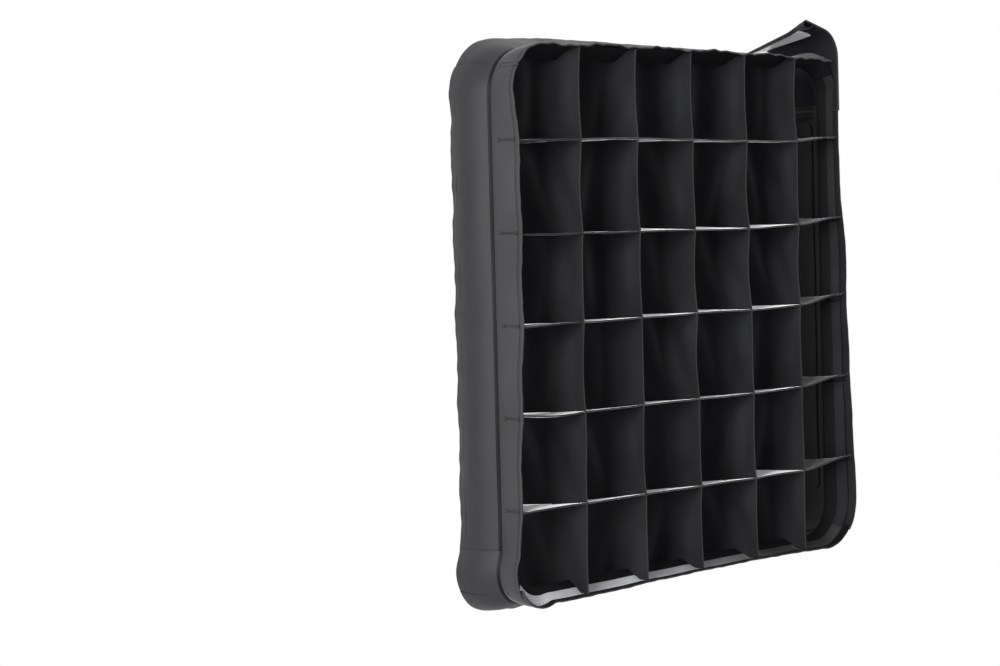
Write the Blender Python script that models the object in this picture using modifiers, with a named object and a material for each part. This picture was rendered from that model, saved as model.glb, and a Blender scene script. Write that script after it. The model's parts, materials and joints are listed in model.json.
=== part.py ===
"""Fabric egg-crate louver grid for a softbox: a collapsible light-control panel.

Frame, in metres: +X is right seen from the front, +Y goes back towards the softbox, +Z is up.
The origin is the centre of the plane in which the softbox's rim seats, where strip and flaps meet.
Each side is built in its own frame, x along the side and z outward from the strip's outer face,
and hangs on an empty that lies on the seam, which is also the axis that the side's flap folds about.
"""
import math

import bmesh
import bpy

# Driving dimensions of the panel
GRID_WIDTH = 0.450
GRID_HEIGHT = 0.450
CELLS_ACROSS = 6
CELLS_UP = 6
CORNER_RADIUS = 0.038
FIT = 0.0003

# Front strip, the sewn rim around the louvers, and the tape that binds its front edge
STRIP_DEPTH = 0.028
STRIP_THICK = 0.0016
CORNER_SEAM_ANGLE = math.radians(52)
BINDING_THICK = 0.0006
BINDING_LEG = 0.0025

# Louvers, slotted together as an egg crate
LOUVER_DEPTH = 0.072
LOUVER_THICK = 0.0010
LOUVER_SAG = 0.0015
LIP_INSET = 0.010
TAB_MARGIN = 0.001

# Spring frame: rods in sewn sleeves, joined round the corners by wires
ROD_RADIUS = 0.0025
ROD_WALL = 0.0008
WIRE_RADIUS = 0.0014
WIRE_GRIP = 0.020
SLEEVE_THICK = 0.0008
SLEEVE_OPENING = math.radians(20)

# Flaps that fold over the softbox's lip
FLAP_DEPTH = 0.047
FLAP_THICK = 0.0016
FLAP_CROWN = 0.0025
FLAP_FLARE = 0.0045
FLAP_RISE = 0.010
FLAP_END_GAP = 0.002
HEM_RADIUS = 0.0022
HEM_WIDTH = 0.008
HEM_MOUTH = 0.0005
TAPE_WIDTH = 0.020
TAPE_THICK = 0.0015
TAPE_END_MARGIN = 0.008

# The ear of the right-hand rim that closes the top right corner and stands open.
# Pairs give its shape along its front edge and along its rear edge.
EAR_LAP = 0.010
EAR_LENGTH = 0.100
EAR_RUN = (0.043, 0.035)
EAR_BEND = (0.034, 0.025)
EAR_TURN = (math.radians(75), math.radians(120))
EAR_HEM_WIDTH = 0.010
EAR_TAPE_GAP = 0.003
EAR_TAPE_SHARES = (0.08, 0.83)

# How finely round stretches are divided
ARC_STEPS = 6
SLEEVE_STEPS = 12
HEM_STEPS = 6
SCALLOP_STEPS = 4
RISE_STEPS = 3
TAPE_STEPS = 4
EAR_STEPS = 12
EAR_DEPTH_STEPS = 6
ROD_SIDES = 16

# What follows from the driving dimensions
SLEEVE_RADIUS = ROD_RADIUS + FIT + SLEEVE_THICK / 2
ROD_DROP = STRIP_THICK + FIT + SLEEVE_RADIUS + SLEEVE_THICK / 2
ROD_SETBACK = SLEEVE_RADIUS + SLEEVE_THICK / 2 + FIT
SLEEVE_FRONT = -ROD_SETBACK - SLEEVE_RADIUS - SLEEVE_THICK / 2
SLEEVE_INSIDE = ROD_DROP + SLEEVE_RADIUS + SLEEVE_THICK / 2
LOUVER_INSET = max(LIP_INSET, SLEEVE_INSIDE + FIT)
BINDING_REACH = STRIP_THICK / 2 + FIT + BINDING_THICK / 2
EAR_BASE = BINDING_REACH - STRIP_THICK / 2 + BINDING_THICK / 2 + FIT + FLAP_THICK / 2

SIDES = {
    "top": (GRID_WIDTH, GRID_HEIGHT, CELLS_ACROSS, 0.0),
    "right": (GRID_HEIGHT, GRID_WIDTH, CELLS_UP, math.pi / 2),
    "bottom": (GRID_WIDTH, GRID_HEIGHT, CELLS_ACROSS, math.pi),
    "left": (GRID_HEIGHT, GRID_WIDTH, CELLS_UP, -math.pi / 2),
}


def clear_scene():
    for thing in list(bpy.data.objects):
        bpy.data.objects.remove(thing, do_unlink=True)


def collection(name):
    made = bpy.data.collections.new(name)
    bpy.context.scene.collection.children.link(made)
    return made


def material(name, colour, roughness, metallic=0.0):
    made = bpy.data.materials.new(name)
    made.use_nodes = True
    shader = made.node_tree.nodes["Principled BSDF"]
    shader.inputs["Base Color"].default_value = (*colour, 1.0)
    shader.inputs["Roughness"].default_value = roughness
    shader.inputs["Metallic"].default_value = metallic
    return made


def place(name, data, group, parent=None, finish=None):
    """Link a new object, hang it on its parent and give it its finish."""
    thing = bpy.data.objects.new(name, data)
    group.objects.link(thing)
    if parent is not None:
        thing.parent = parent
    if finish is not None:
        data.materials.append(finish)
    return thing


def sheet(name, stations, profile, put, thickness, group, parent, finish):
    """One layer of cloth: every profile point carried along the stations, then given its thickness."""
    bm = bmesh.new()
    along = len(stations) - 1
    across = len(profile) - 1
    bmesh.ops.create_grid(bm, x_segments=along, y_segments=across, size=0.5)
    for vert in bm.verts:
        station = stations[round((vert.co.x + 0.5) * along)]
        out, back = profile[round((vert.co.y + 0.5) * across)]
        vert.co = put(station, out, back)
    mesh = bpy.data.meshes.new(name)
    bm.to_mesh(mesh)
    bm.free()
    thing = place(name, mesh, group, parent, finish)
    solid = thing.modifiers.new("cloth thickness", "SOLIDIFY")
    solid.thickness = thickness
    solid.offset = 0.0
    solid.use_even_offset = True
    return thing


def spread(low, high, steps):
    return [low + (high - low) * step / steps for step in range(steps + 1)]


def straight_half(length):
    return length / 2 - CORNER_RADIUS


def round_corner(length):
    """A function that wraps a side of this length round its two corners."""
    straight = straight_half(length)

    def put(station, out, back):
        beyond = abs(station) - straight
        if beyond <= 0:
            return station, back, out
        turn = beyond / CORNER_RADIUS
        reach = CORNER_RADIUS + out
        x = straight + reach * math.sin(turn)
        return math.copysign(x, station), back, reach * math.cos(turn) - CORNER_RADIUS

    return put


def end_turn(side):
    """How far a side goes round its corners, up to the corner seam."""
    return CORNER_SEAM_ANGLE if side in ("top", "bottom") else math.pi / 2 - CORNER_SEAM_ANGLE


def corner_stations(length, turn, gap):
    """Stations round the right-hand corner, ending half a gap before the corner seam."""
    straight = straight_half(length)
    return spread(straight, straight + CORNER_RADIUS * turn - gap / 2, ARC_STEPS)


def rim_stations(side, gap):
    """Stations from one corner seam to the other along a side's outer line."""
    right = corner_stations(SIDES[side][0], end_turn(side), gap)
    return [-station for station in reversed(right)] + right


def side_empties(group):
    """An empty for each side, on the seam line that its flap folds about."""
    empties = {}
    for side, (_, across, _, turn) in SIDES.items():
        empty = place("side_" + side, None, group)
        empty.location = (across / 2 * math.sin(turn), 0.0, across / 2 * math.cos(turn))
        empty.rotation_euler = (0.0, turn, 0.0)
        empties[side] = empty
    return empties


def louver_places(length, cells):
    return [length * (index / cells - 0.5) for index in range(1, cells)]


def tab_span():
    """Where along the depth a louver's end tab goes through the strip."""
    return -STRIP_DEPTH + BINDING_LEG + TAB_MARGIN, SLEEVE_FRONT - TAB_MARGIN


def slit_cutter(side, group, parent):
    """One box for each slit that takes a louver's end tab."""
    length, _, cells, _ = SIDES[side]
    front, back = tab_span()
    bm = bmesh.new()
    for along in louver_places(length, cells):
        made = bmesh.ops.create_cube(bm, size=1.0)
        size = (LOUVER_THICK + 2 * FIT, back - front + 2 * FIT, STRIP_THICK * 3)
        bmesh.ops.scale(bm, vec=size, verts=made["verts"])
        middle = (along, (front + back) / 2, -STRIP_THICK / 2)
        bmesh.ops.translate(bm, vec=middle, verts=made["verts"])
    mesh = bpy.data.meshes.new("slits_" + side)
    bm.to_mesh(mesh)
    bm.free()
    cutter = place("slits_" + side, mesh, group, parent)
    cutter.hide_render = True
    cutter.display_type = "WIRE"
    return cutter


def front_strip(side, group, cutters, parent, finish):
    """The rim's cloth, slit where the louvers' end tabs are sewn in."""
    profile = [(-STRIP_THICK / 2, -STRIP_DEPTH), (-STRIP_THICK / 2, 0.0)]
    stations = rim_stations(side, FIT)
    put = round_corner(SIDES[side][0])
    strip = sheet("front_strip_" + side, stations, profile, put, STRIP_THICK, group, parent, finish)
    cut = strip.modifiers.new("louver slits", "BOOLEAN")
    cut.object = slit_cutter(side, cutters, parent)
    return strip


def edge_binding(side, group, parent, finish):
    """A folded tape over the strip's front edge."""
    middle = -STRIP_THICK / 2
    nose = []
    for turn in spread(0.0, math.pi, HEM_STEPS):
        nose.append((middle + BINDING_REACH * math.cos(turn), -STRIP_DEPTH - BINDING_REACH * math.sin(turn)))
    leg_end = -STRIP_DEPTH + BINDING_LEG
    profile = [(middle + BINDING_REACH, leg_end)] + nose + [(middle - BINDING_REACH, leg_end)]
    stations = rim_stations(side, FIT)
    put = round_corner(SIDES[side][0])
    return sheet("edge_binding_" + side, stations, profile, put, BINDING_THICK, group, parent, finish)


def rod_sleeve(side, group, parent, finish):
    """The loop of cloth inside the strip's rear edge that the frame rod runs in."""
    profile = []
    for turn in spread(SLEEVE_OPENING, 2 * math.pi - SLEEVE_OPENING, SLEEVE_STEPS):
        out = -ROD_DROP + SLEEVE_RADIUS * math.cos(turn)
        profile.append((out, -ROD_SETBACK + SLEEVE_RADIUS * math.sin(turn)))
    stations = rim_stations(side, FLAP_END_GAP)
    put = round_corner(SIDES[side][0])
    return sheet("rod_sleeve_" + side, stations, profile, put, SLEEVE_THICK, group, parent, finish)


def frame_rod(side, group, parent, finish):
    """A thin tube along the straight part of a side."""
    bm = bmesh.new()
    bmesh.ops.create_cone(
        bm,
        segments=ROD_SIDES,
        radius1=ROD_RADIUS - ROD_WALL / 2,
        radius2=ROD_RADIUS - ROD_WALL / 2,
        depth=2 * straight_half(SIDES[side][0]),
        cap_ends=False,
    )
    mesh = bpy.data.meshes.new("frame_rod_" + side)
    bm.to_mesh(mesh)
    bm.free()
    mesh.shade_smooth()
    rod = place("frame_rod_" + side, mesh, group, parent, finish)
    rod.location = (0.0, -ROD_SETBACK, -ROD_DROP)
    rod.rotation_euler = (0.0, math.pi / 2, 0.0)
    wall = rod.modifiers.new("tube wall", "SOLIDIFY")
    wall.thickness = ROD_WALL
    wall.offset = 0.0
    return rod


def corner_wire(name, right, up, turn, group, finish):
    """A spring wire bent round one corner, its straight ends in the bores of two rods."""
    bend = CORNER_RADIUS - ROD_DROP
    route = [(-WIRE_GRIP, bend)]
    for step in spread(0.0, math.pi / 2, ARC_STEPS + 2):
        route.append((bend * math.sin(step), bend * math.cos(step)))
    route.append((bend, -WIRE_GRIP))
    curve = bpy.data.curves.new(name, "CURVE")
    curve.dimensions = "3D"
    curve.bevel_depth = WIRE_RADIUS
    curve.bevel_resolution = 2
    curve.use_fill_caps = True
    spline = curve.splines.new("POLY")
    spline.points.add(len(route) - 1)
    for point, (x, z) in zip(spline.points, route):
        point.co = (x, 0.0, z, 1.0)
    wire = place(name, curve, group, None, finish)
    wire.location = (
        right * straight_half(GRID_WIDTH),
        -ROD_SETBACK,
        up * straight_half(GRID_HEIGHT),
    )
    wire.rotation_euler = (0.0, turn, 0.0)
    return wire


def louver_half_end(length):
    """A louver's right-hand end from its rear corner to its front corner."""
    half = length / 2
    inside = half - STRIP_THICK - FIT
    at_binding = half - STRIP_THICK / 2 - BINDING_REACH - BINDING_THICK / 2 - FIT
    tab_front, tab_back = tab_span()
    behind_binding = -STRIP_DEPTH + BINDING_LEG + FIT
    step = SLEEVE_FRONT - FIT
    return [
        (half - LOUVER_INSET, LOUVER_DEPTH - STRIP_DEPTH),
        (half - LOUVER_INSET, step),
        (inside, step),
        (inside, tab_back),
        (half, tab_back),
        (half, tab_front),
        (inside, tab_front),
        (inside, behind_binding),
        (at_binding, behind_binding),
        (at_binding, -STRIP_DEPTH),
    ]


def scalloped(from_x, to_x, edge, sag):
    """An edge that bows by its sag between two points that hold it."""
    points = []
    for share in spread(0.0, 1.0, SCALLOP_STEPS):
        points.append((from_x + (to_x - from_x) * share, edge + sag * 4 * share * (1 - share)))
    return points


def louver_edge(length, cells, edge, sag, middle):
    """An edge from left to right, bowed in each cell and slotted to the middle where one is given."""
    end = length / 2 - LOUVER_INSET
    if sag > 0:
        end = louver_half_end(length)[-1][0]
    slot = LOUVER_THICK / 2 + FIT
    points = []
    left = -end
    for place_x in louver_places(length, cells):
        stop = place_x - slot if middle is not None else place_x
        points += scalloped(left, stop, edge, sag)
        if middle is not None:
            points += [(place_x - slot, middle), (place_x + slot, middle)]
            left = place_x + slot
        else:
            points.pop()
            left = place_x
    return points + scalloped(left, end, edge, sag)


def louver(name, length, cells, slot_in_front, group, finish):
    """A flat louver with end tabs, half slotted at every crossing."""
    front = -STRIP_DEPTH
    rear = LOUVER_DEPTH - STRIP_DEPTH
    middle = (front + rear) / 2
    right_end = louver_half_end(length)
    left_end = [(-x, y) for x, y in reversed(right_end)]
    front_slot = middle + FIT / 2 if slot_in_front else None
    rear_slot = None if slot_in_front else middle - FIT / 2
    front_edge = louver_edge(length, cells, front, LOUVER_SAG, front_slot)
    rear_edge = louver_edge(length, cells, rear, -LOUVER_SAG, rear_slot)
    outline = front_edge[1:-1] + list(reversed(right_end)) + rear_edge[-2:0:-1] + list(reversed(left_end))
    curve = bpy.data.curves.new(name, "CURVE")
    curve.dimensions = "2D"
    curve.fill_mode = "BOTH"
    curve.extrude = LOUVER_THICK / 2
    spline = curve.splines.new("POLY")
    spline.points.add(len(outline) - 1)
    for point, (x, y) in zip(spline.points, outline):
        point.co = (x, y, 0.0, 1.0)
    spline.use_cyclic_u = True
    return place(name, curve, group, None, finish)


def tape_lines():
    """The lines along a flap, from front to back, that its flat part and its tape share."""
    return spread(FLAP_RISE, FLAP_RISE + TAPE_WIDTH, TAPE_STEPS)


def flap_profile():
    """The flap's section from the seam back: a low crown that flares into a hollow hem turned in."""
    base = -FLAP_THICK / 2
    hem_back = FLAP_DEPTH - FLAP_THICK / 2 - HEM_RADIUS
    lead = FIT + FLAP_THICK
    points = [(base, FIT), (base, lead)]
    for share in spread(0.0, 1.0, RISE_STEPS)[1:]:
        rise = FLAP_CROWN * math.sin(share * math.pi / 2)
        points.append((base + rise, lead + (FLAP_RISE - lead) * share))
    points += [(base + FLAP_CROWN, back) for back in tape_lines()[1:]]
    hem_front = hem_back - HEM_WIDTH
    flare_share = (hem_front - points[-1][1]) / (hem_back - points[-1][1])
    at_hem_front = base + FLAP_CROWN + (FLAP_FLARE - FLAP_CROWN) * flare_share
    points.append((at_hem_front, hem_front))
    for turn in spread(0.0, math.pi, HEM_STEPS):
        out = base + FLAP_FLARE - HEM_RADIUS + HEM_RADIUS * math.cos(turn)
        points.append((out, hem_back + HEM_RADIUS * math.sin(turn)))
    points.append((base + FLAP_FLARE - 2 * HEM_RADIUS, hem_back - HEM_WIDTH / 2))
    points.append((at_hem_front - FLAP_THICK - HEM_MOUTH, hem_front))
    return points


def flap_stations(side):
    """Stations of a flap: round both corners, but stopping short of the open ear."""
    stations = rim_stations(side, FLAP_END_GAP)
    low, high = stations[: ARC_STEPS + 1], stations[ARC_STEPS + 1 :]
    if side == "top":
        ear_tip = ear_path(EAR_LENGTH, 1.0)[1] + HEM_RADIUS + FLAP_THICK
        high = [GRID_WIDTH / 2 + EAR_BASE - ear_tip - FLAP_END_GAP]
    if side == "right":
        low = [EAR_LAP + FLAP_END_GAP - straight_half(GRID_HEIGHT)]
    return low + high


def flap(side, group, parent, finish):
    """A flap behind the strip, from one end of its side to the other."""
    put = round_corner(SIDES[side][0])
    return sheet("flap_" + side, flap_stations(side), flap_profile(), put, FLAP_THICK, group, parent, finish)


def hook_tape(side, group, parent, finish):
    """The hook tape on the flat part of a flap's inner face."""
    out = FLAP_CROWN - FLAP_THICK - FIT - TAPE_THICK / 2
    profile = [(out, back) for back in tape_lines()]
    straight = straight_half(SIDES[side][0])
    stations = flap_stations(side)
    low = max(-straight, stations[0]) + TAPE_END_MARGIN
    high = min(straight, stations[-1]) - TAPE_END_MARGIN
    put = round_corner(SIDES[side][0])
    return sheet("hook_tape_" + side, [low, high], profile, put, TAPE_THICK, group, parent, finish)


def blend(pair, share):
    return pair[0] + (pair[1] - pair[0]) * share


def ear_path(station, share):
    """Height, reach to the left and slope at a station of the ear, at a share of its depth."""
    run, bend, turn = blend(EAR_RUN, share), blend(EAR_BEND, share), blend(EAR_TURN, share)
    if station <= run:
        return station, 0.0, 0.0
    slope = min((station - run) / bend, turn)
    rest = max(0.0, station - run - bend * turn)
    up = run + bend * math.sin(slope) + rest * math.cos(slope)
    return up, bend * (1 - math.cos(slope)) + rest * math.sin(slope), slope


def ear_put(station, inward, share):
    """A point of the ear, whose end past its length is turned in as a hollow hem."""
    up, left, slope = ear_path(min(station, EAR_LENGTH), share)
    beyond = max(0.0, station - EAR_LENGTH)
    turned = min(beyond / HEM_RADIUS, math.pi)
    back_along = beyond - HEM_RADIUS * turned
    close = (back_along / EAR_HEM_WIDTH) ** 2 * (2 * HEM_RADIUS - FLAP_THICK - HEM_MOUTH)
    inward += HEM_RADIUS * (1 - math.cos(turned)) - close
    ahead = HEM_RADIUS * math.sin(turned) - back_along
    up += ahead * math.cos(slope) - inward * math.sin(slope)
    left += ahead * math.sin(slope) + inward * math.cos(slope)
    back = -STRIP_DEPTH + (STRIP_DEPTH + FLAP_DEPTH) * share
    return EAR_LAP - straight_half(GRID_HEIGHT) - up, back, EAR_BASE - left


def ear_tape_stations():
    """Stations across the ear's tape, which lies beside the hem."""
    high = EAR_LENGTH - EAR_HEM_WIDTH - EAR_TAPE_GAP
    return spread(high - TAPE_WIDTH, high, TAPE_STEPS)


def ear_shares():
    """Shares of the ear's depth that the ear and its tape both have lines at."""
    low, high = EAR_TAPE_SHARES
    return spread(low, high, EAR_DEPTH_STEPS)


def corner_ear(group, parent, finish):
    """The end of the right-hand rim that goes up and over the top right corner."""
    tape = ear_tape_stations()
    hem_turn = [EAR_LENGTH + HEM_RADIUS * turn for turn in spread(0.0, math.pi, HEM_STEPS)]
    hem_back = [hem_turn[-1] + share * EAR_HEM_WIDTH for share in (0.5, 1.0)]
    stations = spread(0.0, tape[0], EAR_STEPS) + tape[1:] + hem_turn + hem_back
    profile = [(0.0, share) for share in [0.0] + ear_shares() + [1.0]]
    return sheet("corner_ear", stations, profile, ear_put, FLAP_THICK, group, parent, finish)


def ear_tape(group, parent, finish):
    """The hook tape inside the ear, along its hem."""
    inward = FLAP_THICK / 2 + 2 * FIT + TAPE_THICK / 2
    profile = [(inward, share) for share in ear_shares()]
    return sheet("ear_tape", ear_tape_stations(), profile, ear_put, TAPE_THICK, group, parent, finish)


def build():
    clear_scene()
    parts = collection("softbox_louver_grid")
    cutters = collection("cutters")
    nylon = material("black_nylon", (0.035, 0.035, 0.038), 0.6)
    louver_cloth = material("matt_louver_cloth", (0.012, 0.012, 0.014), 0.75)
    tape = material("binding_tape", (0.055, 0.055, 0.058), 0.7)
    hooks = material("hook_tape", (0.16, 0.16, 0.165), 0.5)
    steel = material("spring_steel", (0.45, 0.45, 0.46), 0.35, 1.0)
    fibre = material("rod_tube", (0.03, 0.03, 0.03), 0.4)

    sides = side_empties(parts)
    for side, empty in sides.items():
        front_strip(side, parts, cutters, empty, nylon)
        edge_binding(side, parts, empty, tape)
        rod_sleeve(side, parts, empty, nylon)
        frame_rod(side, parts, empty, fibre)
        flap(side, parts, empty, nylon)
        hook_tape(side, parts, empty, hooks)
    corner_ear(parts, sides["right"], nylon)
    ear_tape(parts, sides["right"], hooks)

    corner_wire("corner_wire_top_right", 1, 1, 0.0, parts, steel)
    corner_wire("corner_wire_bottom_right", 1, -1, math.pi / 2, parts, steel)
    corner_wire("corner_wire_bottom_left", -1, -1, math.pi, parts, steel)
    corner_wire("corner_wire_top_left", -1, 1, -math.pi / 2, parts, steel)

    for index, x in enumerate(louver_places(GRID_WIDTH, CELLS_ACROSS), 1):
        upright = louver(f"louver_upright_{index}", GRID_HEIGHT, CELLS_UP, False, parts, louver_cloth)
        upright.location = (x, 0.0, 0.0)
        upright.rotation_euler = (0.0, -math.pi / 2, 0.0)
    for index, z in enumerate(louver_places(GRID_HEIGHT, CELLS_UP), 1):
        level = louver(f"louver_level_{index}", GRID_WIDTH, CELLS_ACROSS, True, parts, louver_cloth)
        level.location = (0.0, 0.0, z)


build()
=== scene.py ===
import json
import math
import random

import bpy
import numpy as np
from mathutils import Matrix, Vector


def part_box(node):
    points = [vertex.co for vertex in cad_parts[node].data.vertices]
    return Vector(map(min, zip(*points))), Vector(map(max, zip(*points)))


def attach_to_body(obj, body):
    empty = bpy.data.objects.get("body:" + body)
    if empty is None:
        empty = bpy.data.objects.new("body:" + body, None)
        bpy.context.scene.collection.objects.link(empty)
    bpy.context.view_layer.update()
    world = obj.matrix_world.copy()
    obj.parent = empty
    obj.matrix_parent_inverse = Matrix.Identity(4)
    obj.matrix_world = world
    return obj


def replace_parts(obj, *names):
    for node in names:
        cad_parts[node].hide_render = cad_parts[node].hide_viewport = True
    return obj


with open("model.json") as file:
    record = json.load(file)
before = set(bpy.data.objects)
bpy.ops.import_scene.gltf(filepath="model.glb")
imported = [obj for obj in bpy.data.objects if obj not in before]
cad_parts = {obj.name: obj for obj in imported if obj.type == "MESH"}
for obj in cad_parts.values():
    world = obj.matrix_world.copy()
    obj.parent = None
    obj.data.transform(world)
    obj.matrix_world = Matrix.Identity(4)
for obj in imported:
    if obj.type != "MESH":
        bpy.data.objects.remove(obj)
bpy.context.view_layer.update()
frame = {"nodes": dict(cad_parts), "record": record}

# Sizes that come from the frame, in metres
joints = {joint["name"]: joint for joint in frame["record"]["behaviour"]["joints"]}
HALF_WIDTH = joints["right_flap_fold"]["pos_m"][0]
HALF_HEIGHT = joints["top_flap_fold"]["pos_m"][2]
STRIP_DEPTH = -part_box("front_strip_top")[0][1]
FLAP_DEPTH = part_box("flap_bottom")[1][1]
LOUVER_FRONT, LOUVER_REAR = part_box("louver_upright_1")[0][1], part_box("louver_upright_1")[1][1]
CORNER_RADIUS = HALF_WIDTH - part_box("frame_rod_top")[1][0]
ROD_LOW, ROD_HIGH = (Vector(corner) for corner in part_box("frame_rod_top"))
ROD_RADIUS = (ROD_HIGH.y - ROD_LOW.y) / 2
ROD_BACK = (ROD_HIGH.y + ROD_LOW.y) / 2
ROD_OUT = (ROD_HIGH.z + ROD_LOW.z) / 2 - HALF_HEIGHT
EAR_X, _, EAR_Z = joints["corner_ear_fold"]["pos_m"]
TOP_FLAP_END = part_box("flap_top")[1][0]
TAPE_FRONT, TAPE_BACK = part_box("hook_tape_bottom")[0][1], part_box("hook_tape_bottom")[1][1]
CELLS = 6

# Cloth sizes that are finer than the frame
CLOTH = 0.0007
LOUVER_CLOTH = 0.0004
LOOP_TAPE = 0.0006
HOOK_TAPE = 0.0011
LOUVER_HEM = 0.006
LOUVER_NOSE = 0.0005
LOUVER_INSET = 0.0060
SLEEVE_INSIDE = 0.0080
SLEEVE_FOOT = -0.0205
SLOT_HALF = 0.00035
SEAM_ANGLE = math.radians(52)
SEAM_LAP = 0.0025
FLAP_GAP = 0.0002
HEM_RADIUS = 0.0022
HEM_WIDTH = 0.008
HEM_BACK = FLAP_DEPTH - CLOTH / 2 - HEM_RADIUS
BINDING_ROLL = 0.0006
BINDING_LEG = 0.0022
BINDING_INNER_LEG = 0.0062
BINDING_INSIDE_ROW = 6
LAP_LIFT = 0.0004
LAP_START = 0.007
LAP_RUN = 0.0035
SLEEVE_ROOM = 0.0003
SLEEVE_START = math.radians(40)
SLEEVE_GAP = 0.0006
# Rows at the foot of the bottom and right sleeves' slopes that take a painted-light cloth
PAINTED_LIGHT_ROWS = 3
ROD_ROOM = 0.0002
# Stitches: how long each is, how far apart they are, and their radius
SEAM_STITCH = (0.0026, 0.0012, 0.00022)
HEM_STITCH = (0.0026, 0.0012, 0.00018)
TACK_STITCH = (0.0020, 0.0004, 0.00034)
# A black cord along the flap's seam: a painted shadow line for the seam's groove
SEAM_SHADOW_CORD = (0.0040, 0.0, 0.0006)
EAR_CORD = (0.0040, 0.0, 0.0010)
STITCH_INSET = 0.003

# The open ear: pairs give its shape along its front edge and along its rear edge
EAR_LENGTH = 0.100
EAR_STRETCH = (1.1315, 0.974)
EAR_RUN = (0.0485, 0.0361)
EAR_BEND = (0.026, 0.023)
EAR_TURN = (math.radians(76), math.radians(98))
EAR_HEM_WIDTH = (0.011, 0.0042)
EAR_HEM_RADIUS = (0.0030, 0.0010)
EAR_TAPE = (0.0765, 0.0955)
EAR_TAPE_SHARES = (0.22, 0.95)
EAR_TAPE_CORNER = 0.04
EAR_TAPE_PULL = 0.1
EAR_TAPE_IN = CLOTH + 0.0007
EAR_ROOT_IN, EAR_ROOT_END = 0.0012, 0.97
EAR_GAPE = 0.25
EAR_FOLD_ROOM = 0.0016
TOP_FOLD_ROOM = 0.0050
TOP_STRIP_END = 0.213
TOP_STRIP_LIFT = 0.0055

# How the slack cloth lies: shifts of the strip's front edge outward and back, in metres,
# at even places along each side, from low x or z to high
FRONT_SHIFT = {
    "left": (
        (0.0050, 0.0042, 0.0035, 0.0018, 0.0, -0.0008, -0.0012, -0.0014, 0.0010),
        (0.0060, 0.0020, 0.0, 0.0, 0.0055),
    ),
    "right": (
        (0.0040, 0.0060, 0.0020, 0.0, -0.0020, 0.0, -0.0045, -0.0045, -0.0040),
        (0.0, 0.0, 0.0010, 0.0045, 0.0050),
    ),
    "top": ((0.0010, 0.0020, 0.0010, -0.0005, -0.0040), (0.0055, 0.0, 0.0, 0.0010, 0.0050)),
    "bottom": (
        (0.0010, 0.0030, 0.0014, 0.0, -0.0005, -0.0008, -0.0005, 0.0010, 0.0025),
        (0.0060, 0.0, 0.0, 0.0, 0.0),
    ),
}
# How far out each flap's hem lies, at even places along its side, and how far the flap swells
HEM_OUT = {
    "left": (0.0060, 0.0020, 0.0010, 0.0010, 0.0010, 0.0010, 0.0010, 0.0010, 0.0024),
    "right": (0.0045, 0.0045, 0.0045, 0.0045, 0.0045),
    "top": (0.0023, 0.0115, 0.0130, 0.0124, 0.0112, 0.0100, 0.0090, 0.0078, 0.0075),
    "bottom": (0.0060, 0.0165, 0.0140, 0.0100, 0.0080, 0.0070, 0.0060, 0.0060, 0.0045),
}
FLAP_SWELL = {"left": 0.0075, "right": 0.0025, "top": 0.0010, "bottom": 0.0020}
# The bottom left corner sags into a squarer shape than the frame's
CORNER_SAG = 0.010
# How far along the straight the cloth there stays with the grid, and how far its two stretches lap
CORNER_STAY = 0.004
CORNER_LAP = 0.0006
# Waves: radians in a metre or a share, height, and how many of a side's phases each is shifted by
EDGE_WAVES = ((393, 1.0, 2.0), (242, 1.0, 1.0))
SLOW_WAVES = ((31, 1.0, 1.0), (67, 0.6, 2.0))
QUICK_WAVES = ((173, 1.0, 3.0), (259, 0.7, 1.0), (420, 0.7, 2.3))
EAR_WAVES = ((7.0, 0.0008, 0.6), (13.0, 0.0004, 0.0))
# Lean of each upright at its top and bottom
UPRIGHT_LEAN = ((0.003, -0.003), (0.0, 0.0), (-0.001, 0.001), (0.0, 0.005), (0.0, 0.0015))
# From the lowest level louver up: how far its front edge lies from its true height,
# and how far its rear edge hangs below that, at the rim and at each upright, from the left
LEVEL_RISE = (
    (-0.0004, 0.0004, 0.0003, -0.0005, -0.0013, -0.0015, 0.0066),
    (0.0040, 0.0012, 0.0008, 0.0003, -0.0003, 0.0005, 0.0073),
    (-0.0008, 0.0, 0.0, 0.0, -0.0010, 0.0, 0.0085),
    (-0.0010, -0.0017, -0.0024, -0.0030, -0.0037, -0.0020, 0.0038),
    (-0.0005, 0.0004, 0.0010, 0.0, -0.0010, -0.0014, 0.0026),
)
LEVEL_DROP = (
    (-0.0005, 0.0072, 0.0108, 0.0096, 0.0092, 0.0048, 0.0015),
    (-0.0005, 0.0046, 0.0076, 0.0060, 0.0070, 0.0076, -0.0040),
    (0.0034, 0.0038, 0.0038, 0.0028, 0.0020, 0.0028, -0.0015),
    (0.0025, 0.0025, 0.0018, 0.0, 0.0004, 0.0018, -0.0030),
    (-0.0021, 0.0013, 0.0, 0.0, 0.0, 0.0, -0.0005),
)
# The level louver that hangs slack in its first cell, and by how much
SLACK_LEVEL, LEVEL_SLACK = 2, 0.0030
# How many cells from the left each level louver has its shaded copy in, with less sheen, as painted shade;
# its last cell has it too
SHADED_LEVEL_CELLS = (0, 0, 1, 2, 1)

SIDE_TURN = {"top": 0.0, "right": math.pi / 2, "bottom": math.pi, "left": -math.pi / 2}
SIDE_PHASE = {"top": 0.4, "right": 1.9, "bottom": 3.1, "left": 4.4}
# The side that meets each side at its first and at its last station
NEIGHBOURS = {
    "top": ("left", "right"), "right": ("top", "bottom"),
    "bottom": ("right", "left"), "left": ("bottom", "top"),
}
chance = random.Random(11)


def spread(low, high, steps):
    return [low + (high - low) * step / steps for step in range(steps + 1)]


def smooth(value):
    value = min(1.0, max(0.0, value))
    return value * value * (3 - 2 * value)


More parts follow.
